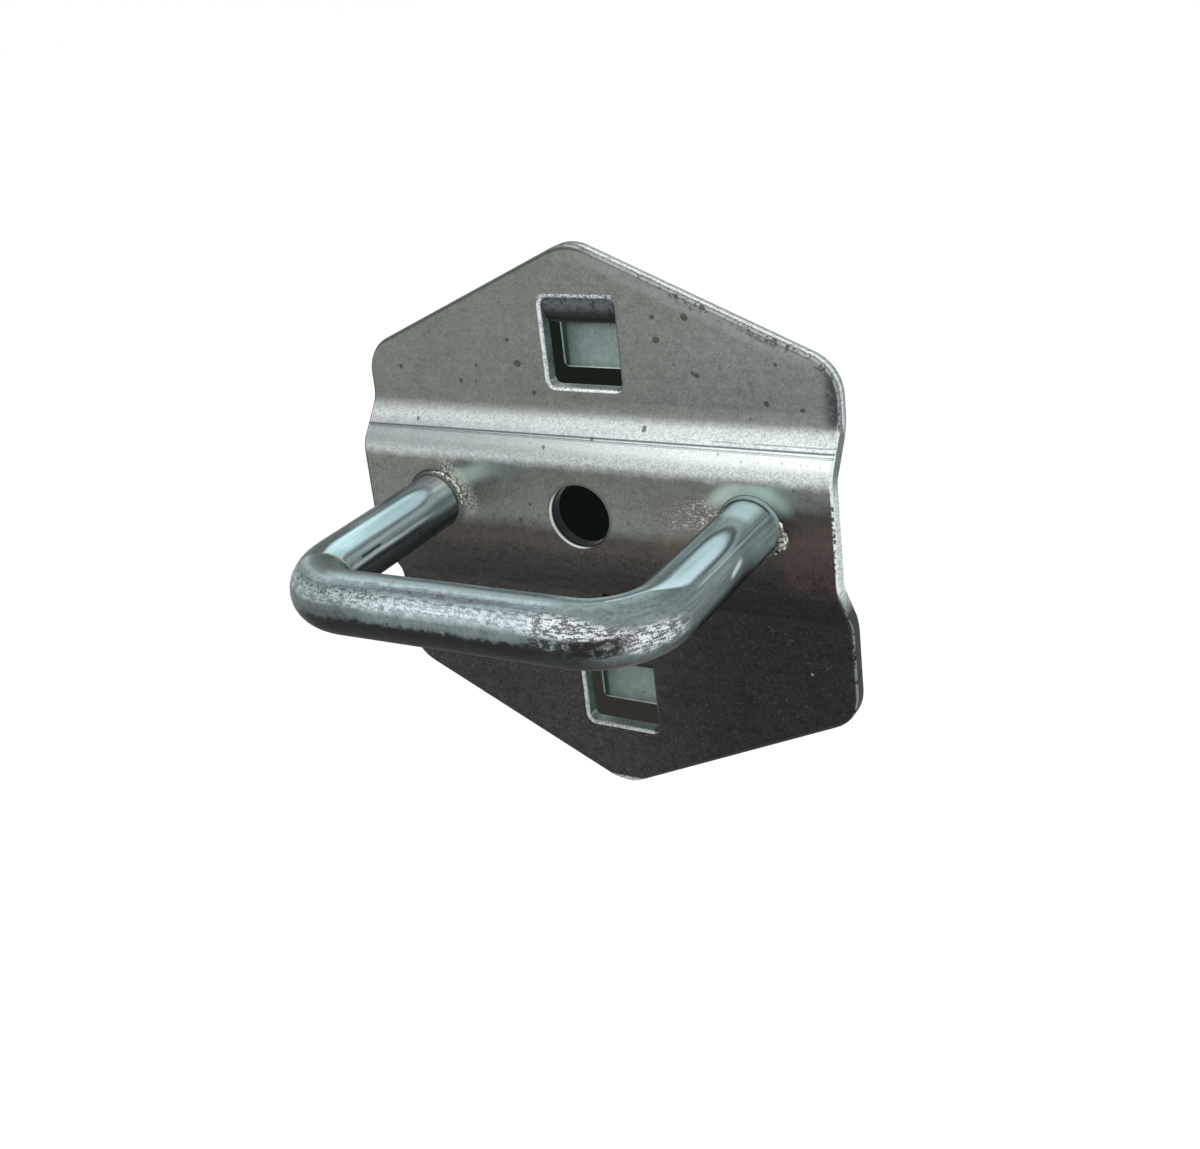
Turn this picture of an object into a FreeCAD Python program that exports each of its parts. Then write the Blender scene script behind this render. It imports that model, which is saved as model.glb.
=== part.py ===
import FreeCAD, Part
import math
import os

os.makedirs("parts", exist_ok=True)

# Steel hook for a square-hole tool wall, modelled in millimetres as it hangs.
# +Z is up, the rod loop reaches towards -Y, and X runs to the right as seen from in front.
# The plane y = 0 is the rear face of the plate, which lies against the front of the wall sheet.
# The origin is on that plane, on the centreline, midway between the two lanced hooks.

# The sheet and its outline.
SHEET = 1.5
PLATE_WIDTH = 53.8
POINT_ABOVE_HOOK = 10.9
POINT_BELOW_HOOK = 11.5
SIDE_SHORT_OF_HOOK = 1.0
POINT_SHIFT = -0.4
CORNER_RADIUS = 4.4
BOTTOM_TIP_RADIUS = 1.6
EDGE_ROLL = 0.35
TIP_BEVEL_HEIGHT = 0.8
TIP_BEVEL_DEPTH = 0.7

# The raised band pressed forward across the full width, and the score that the press left above it.
BAND_RAISE = 3.2
BAND_TOP = 8.3
BAND_TOP_FOOT = 12.6
BAND_LOW = -3.2
BAND_LOW_FOOT = -8.2
BAND_BEND = 1.6
BAND_FOOT_BEND = 3.0
SCORE_WIDTH = 0.24
SCORE_FROM_FOOT = 3.3

# The two hooks lanced out of the plate, and the square openings that they leave.
HOOK_PITCH = 38.0
OPENING_WIDTH = 8.4
OPENING_BOTTOM = 4.25
OPENING_TOP = 5.0
OPENING_CORNER = 0.8
OPENING_ROLL = 0.4
HOOK_BEND = 1.6
HOOK_TURN = 0.4
HOOK_STEP = 0.5
HOOK_TIP = 3.1
HOOK_TIP_CORNER = 0.6

# The two round holes.
SCREW_HOLE = 6.5
SCREW_HOLE_X = -0.4
SCREW_HOLE_Z = 2.2
SCREW_HOLE_ROLL = 0.45
PIN_HOLE = 2.8
PIN_HOLE_X = -0.3
PIN_HOLE_BELOW_BAND = 0.7

# The rod loop and its welds.
ROD = 6.0
LEG_SPACING = 36.4
LOOP_SHIFT = 0.2
LOOP_HEIGHT = 2.65
LOOP_REACH = 23.4
LOOP_BEND = 6.2
LOOP_DROOP = 1.4
LOOP_TWIST = 0.7
WELD_WIDTH = 0.25
WELD_HEIGHT = 0.5

# Values that follow from the ones above, the spare length of every blank and cutter, and the
# distance at which two points count as one.
FRONT = -SHEET
BAND_FRONT = -SHEET - BAND_RAISE
HALF_WIDTH = PLATE_WIDTH / 2
HOOK_CENTRES = (HOOK_PITCH / 2, -HOOK_PITCH / 2)
PLATE_TOP = HOOK_PITCH / 2 + POINT_ABOVE_HOOK
PLATE_BOTTOM = -HOOK_PITCH / 2 - POINT_BELOW_HOOK
SIDE_TOP = HOOK_PITCH / 2 - SIDE_SHORT_OF_HOOK
PIN_HOLE_Z = BAND_LOW_FOOT - PIN_HOLE_BELOW_BAND
HOOK_UNDER = HOOK_BEND + SHEET
ROD_RADIUS = ROD / 2
LEFT_LEG = LOOP_SHIFT - LEG_SPACING / 2
SPARE = 4.0
NEAR = 0.01


def at(x, y, z):
    return FreeCAD.Vector(x, y, z)


def towards(start, end):
    return end.sub(start).normalize()


def rounded_path(corners, radii):
    """Edges through the corners, where each inner corner is rounded, or sharp at radius 0."""
    edges = []
    start = corners[0]
    for before, corner, after, radius in zip(corners, corners[1:], corners[2:], radii):
        back = towards(corner, before)
        ahead = towards(corner, after)
        half = back.getAngle(ahead) / 2
        setback = radius / math.tan(half)
        enter = corner + back * setback
        leave = corner + ahead * setback
        if start.distanceToPoint(enter) > NEAR:
            edges.append(Part.makeLine(start, enter))
        if radius > 0:
            inward = (back + ahead).normalize()
            crown = corner + inward * (radius / math.sin(half) - radius)
            edges.append(Part.Arc(enter, crown, leave).toShape())
        start = leave
    edges.append(Part.makeLine(start, corners[-1]))
    return edges


def face_inside(edges):
    return Part.Face(Part.Wire(Part.__sortEdges__(edges)))


def face_between(front, front_radii, rear, rear_radii):
    """The cut end of a bent sheet, from its front run of corners to its rear one."""
    ends = [Part.makeLine(front[0], rear[0]), Part.makeLine(front[-1], rear[-1])]
    return face_inside(rounded_path(front, front_radii) + rounded_path(rear, rear_radii) + ends)


# The pressed sheet is one section in Y and Z, flat above and below with the raised band between.
# The rear corners follow the front ones by the thickness, so the slopes are as thick as the flats.

def pressed_sheet():
    top_angle = math.atan2(BAND_RAISE, BAND_TOP_FOOT - BAND_TOP)
    low_angle = math.atan2(BAND_RAISE, BAND_LOW - BAND_LOW_FOOT)
    top_step = SHEET * math.tan(top_angle / 2)
    low_step = SHEET * math.tan(low_angle / 2)
    x = -HALF_WIDTH - SPARE
    high = PLATE_TOP + SPARE
    low = PLATE_BOTTOM - SPARE
    front = [at(x, FRONT, high), at(x, FRONT, BAND_TOP_FOOT), at(x, BAND_FRONT, BAND_TOP),
             at(x, BAND_FRONT, BAND_LOW), at(x, FRONT, BAND_LOW_FOOT), at(x, FRONT, low)]
    rear = [at(x, 0, high), at(x, 0, BAND_TOP_FOOT - top_step), at(x, -BAND_RAISE, BAND_TOP - top_step),
            at(x, -BAND_RAISE, BAND_LOW + low_step), at(x, 0, BAND_LOW_FOOT + low_step), at(x, 0, low)]
    front_radii = [BAND_FOOT_BEND, BAND_BEND + SHEET, BAND_BEND + SHEET, BAND_FOOT_BEND]
    rear_radii = [BAND_FOOT_BEND + SHEET, BAND_BEND, BAND_BEND, BAND_FOOT_BEND + SHEET]
    section = face_between(front, front_radii, rear, rear_radii)
    return section.extrude(at(PLATE_WIDTH + 2 * SPARE, 0, 0))


# The six-sided outline has a point at the top and one at the bottom, its corners rounded by the die.
# Its run starts and ends in the middle of the upper right side, where it is straight.

def outline_prism():
    y = BAND_FRONT - SPARE
    top = at(POINT_SHIFT, y, PLATE_TOP)
    bottom = at(POINT_SHIFT, y, PLATE_BOTTOM)
    right_high = at(HALF_WIDTH, y, SIDE_TOP)
    right_low = at(HALF_WIDTH, y, -SIDE_TOP)
    left_low = at(-HALF_WIDTH, y, -SIDE_TOP)
    left_high = at(-HALF_WIDTH, y, SIDE_TOP)
    seam = (top + right_high) * 0.5
    corners = [seam, right_high, right_low, bottom, left_low, left_high, top, seam]
    radii = [CORNER_RADIUS, CORNER_RADIUS, BOTTOM_TIP_RADIUS, CORNER_RADIUS, CORNER_RADIUS, CORNER_RADIUS]
    return face_inside(rounded_path(corners, radii)).extrude(at(0, SPARE - y, 0))


def front_edges(sheet, belongs):
    """The edges on the front of the sheet, with sheet behind their middle, that belong to one rim."""
    behind = at(0, 0.6 * SHEET, 0)
    found = []
    for edge in sheet.Edges:
        middle = edge.valueAt((edge.FirstParameter + edge.LastParameter) / 2)
        if sheet.isInside(middle + behind, NEAR, True) and belongs(edge, middle):
            found.append(edge)
    return found


def outer_rim(edge, middle):
    bend_line = edge.BoundBox.XLength > HALF_WIDTH and edge.BoundBox.ZLength < NEAR
    return not bend_line


# The bottom point is knocked back to a small bevel on its front edge.

def tip_bevel(bottom):
    edge = at(-HALF_WIDTH, FRONT, bottom + TIP_BEVEL_HEIGHT)
    lower = at(-HALF_WIDTH, FRONT + TIP_BEVEL_DEPTH, bottom)
    beyond = edge + (lower - edge) * 3
    outside = at(-HALF_WIDTH, FRONT - SPARE, bottom - SPARE)
    before = edge - (lower - edge) * 3
    return Part.Face(Part.makePolygon([before, beyond, outside, before])).extrude(at(PLATE_WIDTH, 0, 0))


# The score is a fine round-bottomed line along the upper slope, where the press tool ended.

def score_line():
    foot = at(-HALF_WIDTH - SPARE, FRONT, BAND_TOP_FOOT)
    crest = at(-HALF_WIDTH - SPARE, BAND_FRONT, BAND_TOP)
    start = foot + towards(foot, crest) * SCORE_FROM_FOOT
    return Part.makeCylinder(SCORE_WIDTH / 2, PLATE_WIDTH + 2 * SPARE, start, at(1, 0, 0))


# The openings are sheared at the sides and rolled all round the front. The root of the hook, pressed
# a little below the front face, closes each at the top.

def opening_prism(centre):
    half = OPENING_WIDTH / 2
    y = FRONT - SPARE
    low = centre - OPENING_BOTTOM
    high = centre + OPENING_TOP
    corners = [at(0, y, low), at(half, y, low), at(half, y, high), at(-half, y, high), at(-half, y, low),
               at(0, y, low)]
    return face_inside(rounded_path(corners, [OPENING_CORNER] * 4)).extrude(at(0, SPARE - y, 0))


def opening_rim(centre):
    def belongs(edge, middle):
        beside = abs(middle.x) < OPENING_WIDTH / 2 + NEAR
        return beside and centre - OPENING_BOTTOM - NEAR < middle.z < centre + OPENING_TOP + NEAR
    return belongs


# Each hook is the tongue of its opening, as wide as the opening because shearing takes nothing away.
# It sweeps back from the top edge in one wide bend and turns down behind the wall sheet in a
# tighter one. The two corners of its tip are rounded.

def hook(centre):
    high = centre + OPENING_TOP
    tip = centre - HOOK_TIP
    under = high - HOOK_UNDER
    inner = HOOK_BEND + HOOK_TURN
    x = -OPENING_WIDTH / 2
    root = high + OPENING_ROLL
    face = FRONT + HOOK_STEP
    front = [at(x, face, root), at(x, face, under), at(x, inner, under), at(x, inner, tip)]
    rear = [at(x, 0, root), at(x, 0, under + SHEET), at(x, inner + SHEET, under + SHEET),
            at(x, inner + SHEET, tip)]
    section = face_between(front, [HOOK_UNDER - HOOK_STEP, HOOK_TURN], rear, [HOOK_BEND, HOOK_TURN + SHEET])
    tongue = section.extrude(at(OPENING_WIDTH, 0, 0))
    tips = [edge for edge in tongue.Edges
            if edge.BoundBox.ZMax < tip + NEAR and edge.BoundBox.YLength > SHEET - NEAR
            and edge.BoundBox.XLength < NEAR]
    return tongue.makeFillet(HOOK_TIP_CORNER, tips)


# A punched hole, and the front rim of the screw hole, rolled by its punch.

def hole(diameter, x, z):
    return Part.makeCylinder(diameter / 2, 2 * SPARE + SHEET + BAND_RAISE, at(x, BAND_FRONT - SPARE, z),
                             at(0, 1, 0))


def screw_hole_rim(edge, middle):
    from_centre = math.hypot(middle.x - SCREW_HOLE_X, middle.z - SCREW_HOLE_Z)
    return abs(from_centre - SCREW_HOLE / 2) < NEAR


# The back plate, in the order of the tool: blank and press, punch, roll the rims, lance the hooks.

plate = pressed_sheet().common(outline_prism())
bottom = plate.BoundBox.ZMin
plate = plate.makeFillet(EDGE_ROLL, front_edges(plate, outer_rim))
plate = plate.cut(tip_bevel(bottom)).cut(score_line())
plate = plate.cut(hole(SCREW_HOLE, SCREW_HOLE_X, SCREW_HOLE_Z)).cut(hole(PIN_HOLE, PIN_HOLE_X, PIN_HOLE_Z))
plate = plate.makeFillet(SCREW_HOLE_ROLL, front_edges(plate, screw_hole_rim))
for centre in HOOK_CENTRES:
    plate = plate.cut(opening_prism(centre))
    plate = plate.makeFillet(OPENING_ROLL, front_edges(plate, opening_rim(centre)))
for centre in HOOK_CENTRES:
    plate = plate.fuse(hook(centre))
plate = plate.removeSplitter()
plate.exportStep("parts/back_plate.step")


# A leg runs back from the bend to the band. Its end is upset by the weld to a low foot, whose
# profile is turned together with the leg's own.

def leg_with_foot(x, turn):
    foot = BAND_FRONT - WELD_HEIGHT
    behind = BAND_FRONT + WELD_HEIGHT
    wide = ROD_RADIUS + 2 * WELD_WIDTH
    corners = [at(x, turn, 0), at(x + ROD_RADIUS, turn, 0), at(x + ROD_RADIUS, foot, 0),
               at(x + wide, behind, 0), at(x, behind, 0), at(x, turn, 0)]
    return Part.Face(Part.makePolygon(corners)).revolve(at(x, 0, 0), at(0, 1, 0), 360)


# The rod loop is one round steel rod: two legs, two bends and the bar across the front.
# It leaves the plate a little low and a little turned, as the welds hold it.

def loop_rod():
    bar = BAND_FRONT - LOOP_REACH
    turn = bar + LOOP_BEND
    x = LEFT_LEG
    half = LEG_SPACING / 2 - LOOP_BEND
    disc = Part.Face(Part.Wire(Part.makeCircle(ROD_RADIUS, at(x, turn, 0), at(0, 1, 0))))
    bend = disc.revolve(at(x + LOOP_BEND, turn, 0), at(0, 0, 1), 90)
    half_bar = Part.makeCylinder(ROD_RADIUS, half, at(x + LOOP_BEND, bar, 0), at(1, 0, 0))
    left = leg_with_foot(x, turn).fuse([bend, half_bar])
    right = left.mirror(at(LOOP_SHIFT, 0, 0), at(1, 0, 0))
    rod = left.fuse(right).removeSplitter()
    pivot = at(LOOP_SHIFT, BAND_FRONT, 0)
    rod.rotate(pivot, at(1, 0, 0), LOOP_DROOP)
    rod.rotate(pivot, at(0, 1, 0), -LOOP_TWIST)
    rod.translate(at(0, 0, LOOP_HEIGHT))
    return rod


behind = Part.makeBox(PLATE_WIDTH, 2 * SPARE, PLATE_WIDTH, at(-HALF_WIDTH, BAND_FRONT, -HALF_WIDTH))
loop = loop_rod().cut(behind)
loop.exportStep("parts/rod_loop.step")
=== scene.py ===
import math

import bmesh
import bpy
from mathutils import Matrix, Vector, noise


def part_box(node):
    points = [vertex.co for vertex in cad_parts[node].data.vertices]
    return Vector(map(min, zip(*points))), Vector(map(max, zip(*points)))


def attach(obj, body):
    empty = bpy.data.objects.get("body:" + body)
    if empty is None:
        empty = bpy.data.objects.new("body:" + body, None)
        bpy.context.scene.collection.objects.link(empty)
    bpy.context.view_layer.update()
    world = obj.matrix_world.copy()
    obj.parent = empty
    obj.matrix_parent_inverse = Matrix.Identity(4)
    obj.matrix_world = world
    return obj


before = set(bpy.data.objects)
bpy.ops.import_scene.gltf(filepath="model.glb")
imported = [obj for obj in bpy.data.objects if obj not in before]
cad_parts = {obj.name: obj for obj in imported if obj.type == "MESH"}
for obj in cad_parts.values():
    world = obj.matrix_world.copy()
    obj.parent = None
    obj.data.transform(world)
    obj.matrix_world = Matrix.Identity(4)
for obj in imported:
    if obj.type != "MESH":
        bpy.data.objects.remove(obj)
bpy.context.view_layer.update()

MM = 0.001


# The back plate is one sheet of bright zinc-plated steel, blanked, pressed and lanced in one tool.
# Its finish is a fine grey grain with dark pits. The bends are partly burnished where the press
# rubbed them and partly painted highlight, and the lower half is painted dark brown-grey as a painted
# reflection.

PLATE_SIDE = 26.9
PLATE_POINT = -0.4
UPPER_POINT = 29.9
LOWER_POINT = -30.5
SIDE_TOP = 18.0
HOOK_CENTRES = (19.0, -19.0)
OPENING_HALF = 4.2
OPENING_BELOW = 4.25
OPENING_ABOVE = 5.0
SCREW_HOLE = (-0.4, 2.2)
LEFT_WELD = (-18.0, 2.43)
RIGHT_WELD = (18.4, 2.87)
RAMP_END = 31
BURNISHED_AND_HIGHLIT_STRIPS = (7.5, 12.1)
SCORE = (10.18, 10.28)
SECOND_SCORE = (10.60, 10.67)
SCORE_SLOPE = 0.003
ROLL_FRONT = -1.24
TONGUE_ROOT = -1.04
TAB_FRONT = 2.0
# The lower opening's lips, brow and tab are painted at this share of the upper one's light: painted
# shade.
LOWER_HOOK_LIGHT = 0.62
LARGE_PITS = [
    (-7.65, 17.09, 0.36), (8.63, 20.13, 0.30), (-6.09, 14.01, 0.2), (-8.56, 19.55, 0.2),
    (-22.64, 16.19, 0.2), (-12.83, 16.71, 0.18), (-15.01, 14.98, 0.2), (12.59, 23.29, 0.2),
    (11.83, 22.49, 0.32), (18.75, 20.95, 0.18), (12.67, 16.69, 0.22), (12.2, 16.9, 0.18),
    (19.61, 14.27, 0.2), (23.28, 13.79, 0.2), (6.84, 11.29, 0.2), (-20.39, 10.87, 0.16),
    (1.29, 10.16, 0.17), (-4.14, 9.18, 0.15), (20.83, 18.13, 0.14), (8.34, 22.41, 0.2),
    (-10.8, -0.9, 0.16), (-6.2, 3.0, 0.12), (-7.6, 1.2, 0.16), (-4.9, -0.2, 0.2)]


class Finish:
    """One procedural finish. Most methods add nodes and give back the socket that these write to."""

    def __init__(self, name):
        self.material = bpy.data.materials.new(name)
        self.material.use_nodes = True
        self.tree = self.material.node_tree
        self.surface = self.tree.nodes["Principled BSDF"]
        place = self.tree.nodes.new("ShaderNodeTexCoord")
        self.normal = self.split(place.outputs["Normal"])
        self.place = self.scaled(place.outputs["Object"], 1 / MM)
        self.x, self.y, self.z = self.split(self.place)
        self.flat = self.join(self.x, self.z, 0.0)

    def put(self, socket, value):
        if isinstance(value, bpy.types.NodeSocket):
            self.tree.links.new(value, socket)
        elif value is not None:
            socket.default_value = value[:3] if socket.type == "VECTOR" else value

    def math(self, operation, a, b=None, c=None):
        node = self.tree.nodes.new("ShaderNodeMath")
        node.operation = operation
        for socket, value in zip(node.inputs, (a, b, c)):
            self.put(socket, value)
        return node.outputs[0]

    def joined(self, operation, values):
        result = values[0]
        for value in values[1:]:
            result = self.math(operation, result, value)
        return result

    def add(self, *values):
        return self.joined("ADD", values)

    def less(self, a, b):
        return self.math("SUBTRACT", a, b)

    def times(self, *values):
        return self.joined("MULTIPLY", values)

    def most(self, *values):
        return self.joined("MAXIMUM", values)

    def least(self, *values):
        return self.joined("MINIMUM", values)

    def size(self, a):
        return self.math("ABSOLUTE", a)

    def flip(self, mask):
        return self.less(1.0, mask)

    def between(self, share, a, b):
        """A number that goes from a to b as the share goes from 0 to 1."""
        return self.add(self.times(self.flip(share), a), self.times(share, b))

    def reach(self, a, b):
        return self.math("SQRT", self.add(self.times(a, a), self.times(b, b)))

    def split(self, vector):
        node = self.tree.nodes.new("ShaderNodeSeparateXYZ")
        self.put(node.inputs[0], vector)
        return node.outputs[0], node.outputs[1], node.outputs[2]

    def join(self, x, y, z):
        node = self.tree.nodes.new("ShaderNodeCombineXYZ")
        for socket, value in zip(node.inputs, (x, y, z)):
            self.put(socket, value)
        return node.outputs[0]

    def scaled(self, vector, factor):
        node = self.tree.nodes.new("ShaderNodeVectorMath")
        node.operation = "SCALE"
        self.put(node.inputs[0], vector)
        self.put(node.inputs["Scale"], factor)
        return node.outputs[0]

    def rise(self, value, low, high):
        """0 below low and 1 above high, smooth between. With low above high it falls."""
        node = self.tree.nodes.new("ShaderNodeMapRange")
        node.interpolation_type = "SMOOTHSTEP"
        self.put(node.inputs[0], value)
        node.inputs[1].default_value = min(low, high)
        node.inputs[2].default_value = max(low, high)
        node.inputs[3].default_value = 0.0 if low < high else 1.0
        node.inputs[4].default_value = 1.0 if low < high else 0.0
        return node.outputs[0]

    def band(self, value, low, high, soft):
        """1 from low to high, falling to 0 over the soft width on both sides."""
        middle = (low + high) / 2
        half = (high - low) / 2
        return self.rise(self.size(self.less(value, middle)), half + soft, half)

    def far_from(self, spot):
        """Distance from a spot (x, z) on the front of the plate."""
        return self.reach(self.less(self.x, spot[0]), self.less(self.z, spot[1]))

    def spots(self, marks, soft):
        """Roughly round marks on the front, each at (x, z) with its radius."""
        uneven = self.times(self.grain(0.5, detail=1.0), 0.45)
        return self.most(*[self.rise(self.add(self.far_from((x, z)), uneven), radius + soft, radius)
                           for x, z, radius in marks])

    def grain(self, size, detail=2.0, roughness=0.5, place=None, stretch=(1, 1, 1)):
        """Noise about 0, its blotches about the given size in millimetres."""
        node = self.tree.nodes.new("ShaderNodeTexNoise")
        spread = self.tree.nodes.new("ShaderNodeMapping")
        spread.inputs["Scale"].default_value = [factor / size for factor in stretch]
        self.put(spread.inputs[0], self.place if place is None else place)
        self.put(node.inputs["Vector"], spread.outputs[0])
        node.inputs["Scale"].default_value = 1.0
        node.inputs["Detail"].default_value = detail
        node.inputs["Roughness"].default_value = roughness
        return self.less(node.outputs[0], 0.5)

    def pits(self, spacing, smallest, largest, kept):
        """Round pits of random size, one in the given share of the cells, as a mask."""
        node = self.tree.nodes.new("ShaderNodeTexVoronoi")
        node.voronoi_dimensions = "2D"
        self.put(node.inputs["Vector"], self.scaled(self.flat, 1 / spacing))
        node.inputs["Scale"].default_value = 1.0
        chance, other, _ = self.split(node.outputs["Color"])
        radius = self.times(self.math("POWER", chance, 3.0), largest / spacing)
        radius = self.most(radius, smallest / spacing)
        inside = self.less(radius, node.outputs["Distance"])
        return self.times(self.rise(inside, 0.0, 0.3 * smallest / spacing),
                          self.rise(other, 1 - kept, 1.001 - kept))

    def mix(self, mask, first, second):
        node = self.tree.nodes.new("ShaderNodeMix")
        node.data_type = "RGBA"
        self.put(node.inputs["Factor"], mask)
        self.put(node.inputs[6], first)
        self.put(node.inputs[7], second)
        return node.outputs[2]

    def over(self, base, colour, *masks):
        """The base with a colour laid over it where all the masks are."""
        return self.mix(self.times(*masks), base, colour)

    def tone(self, value, stops):
        """A colour ramp over the range that the stops cover. Each stop is a value and its colour."""
        low = stops[0][0]
        high = stops[-1][0]
        node = self.tree.nodes.new("ShaderNodeValToRGB")
        self.put(node.inputs[0], self.math("DIVIDE", self.less(value, low), high - low))
        ramp = node.color_ramp
        while len(ramp.elements) < len(stops):
            ramp.elements.new(0.5)
        for element, (at, colour) in zip(ramp.elements, stops):
            element.position = (at - low) / (high - low)
            element.color = colour
        return node.outputs[0]

    def lit(self, colour, factor):
        """The colour made lighter or darker by a factor."""
        return self.scaled(colour, factor)

    def bump(self, height, distance, strength):
        node = self.tree.nodes.new("ShaderNodeBump")
        node.inputs["Strength"].default_value = strength
        node.inputs["Distance"].default_value = distance
        self.put(node.inputs["Height"], height)
        return node.outputs[0]

    def finish(self, colour, metal, roughness, normal):
        self.surface.inputs["Specular Tint"].default_value = (0.45, 0.45, 0.45, 1.0)
        self.put(self.surface.inputs["Base Color"], colour)
        self.put(self.surface.inputs["Metallic"], metal)
        self.put(self.surface.inputs["Roughness"], roughness)
        self.put(self.surface.inputs["Normal"], normal)
        return self.material


def paint(red, green, blue):
    """A colour from screen values of 0 to 255, as the light that it stands for."""
    def light(value):
        share = value / 255
        return share / 12.92 if share <= 0.04045 else ((share + 0.055) / 1.055) ** 2.4
    return light(red), light(green), light(blue), 1.0


LOW_REFLECTION_DARK = paint(40, 40, 42)
LOW_REFLECTION_DULL = paint(56, 56, 54)
BROWN_GREY_REFLECTION = paint(76, 72, 68)
SHEET_GREY = paint(116, 121, 114)
SHEET_PALE = paint(130, 134, 130)
SOFT_HIGHLIGHT = paint(156, 163, 163)
BURNISHED_AND_HIGHLIGHT = paint(195, 203, 202)
PALE_HIGHLIGHT = paint(222, 230, 228)
EDGE_SHADE_AND_CRUMB = paint(56, 62, 64)
EDGE_GREY = paint(124, 132, 134)
TONGUE_SHADE_GREY = paint(66, 72, 68)
TONGUE_SHADE_DARK = paint(40, 42, 40)
NEAR_BLACK = paint(26, 28, 30)
TAB_TEAL = paint(144, 160, 157)
TAB_SHADE = paint(130, 146, 143)
LOW_FLECK = paint(112, 106, 108)
BROWN_TINT = paint(98, 86, 76)
SPRAYED_ZINC = paint(226, 216, 208)
RED_REFLECTION = paint(88, 64, 56)
SCORE_SHADE = paint(74, 78, 86)
SCORE_SOFT_SHADE = paint(110, 114, 118)
FLARE_HIGHLIGHT = paint(198, 214, 202)
JOINT_CREAM = paint(224, 228, 212)
HALO_HIGHLIGHT_SOFT = paint(166, 184, 178)
HALO_HIGHLIGHT = paint(196, 214, 206)
ARC_DARK = paint(44, 44, 42)
PIT_DARK = paint(50, 54, 52)
CHIP_PALE = paint(170, 168, 166)
EDGE_REFLECTION_DARK = paint(50, 56, 64)
GLINT_GREY = paint(178, 186, 182)
ROLL_SHADE = paint(58, 64, 62)
ROLL_HIGHLIGHT = paint(226, 232, 230)
TIP_PALE = paint(196, 200, 196)
CRUMB_DARK = paint(70, 72, 72)
HOLE_RING_SHADE = paint(78, 78, 74)
HOLE_GLINT = paint(214, 220, 214)
HOLE_WALL_SHADE = paint(26, 32, 32)
WALL_TEAL = paint(140, 162, 159)
WALL_LOW_SHADE = paint(84, 100, 96)
WALL_TOP_LIGHT = paint(172, 186, 181)
LIP_HIGHLIGHT = paint(232, 240, 238)
LIP_SHADE = paint(98, 104, 112)
BROW_HIGHLIGHT_DIM = paint(118, 124, 132)
BROW_HIGHLIGHT = paint(212, 220, 226)
TAB_SIDE = paint(62, 82, 80)
TAB_SIDE_HIGHLIGHT = paint(210, 222, 218)
TAB_LOW_HIGHLIGHT = paint(222, 232, 228)
TAB_PIT = paint(52, 56, 52)
TAB_RIM_HIGHLIGHT = paint(216, 226, 222)
REAR_GREY = paint(136, 144, 141)
REAR_PALE = paint(156, 164, 161)
REAR_PIT = paint(60, 64, 62)


def inside_outline(sheet):
    """Distance in from the six-sided outline, its corners rounded."""
    def inside(x1, z1, x2, z2):
        run = math.hypot(x2 - x1, z2 - z1)
        across, up = (z1 - z2) / run, (x2 - x1) / run
        along_normal = sheet.add(sheet.times(sheet.x, across), sheet.times(sheet.z, up))
        return sheet.less(across * x1 + up * z1, along_normal)
    nearest = sheet.less(PLATE_SIDE, sheet.size(sheet.x))
    for side in (inside(PLATE_POINT, UPPER_POINT, PLATE_SIDE, SIDE_TOP),
                 inside(-PLATE_SIDE, SIDE_TOP, PLATE_POINT, UPPER_POINT),
                 inside(PLATE_SIDE, -SIDE_TOP, PLATE_POINT, LOWER_POINT),
                 inside(PLATE_POINT, LOWER_POINT, -PLATE_SIDE, -SIDE_TOP)):
        nearest = sheet.math("SMOOTH_MIN", nearest, side, 3.0)
    return nearest


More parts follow.
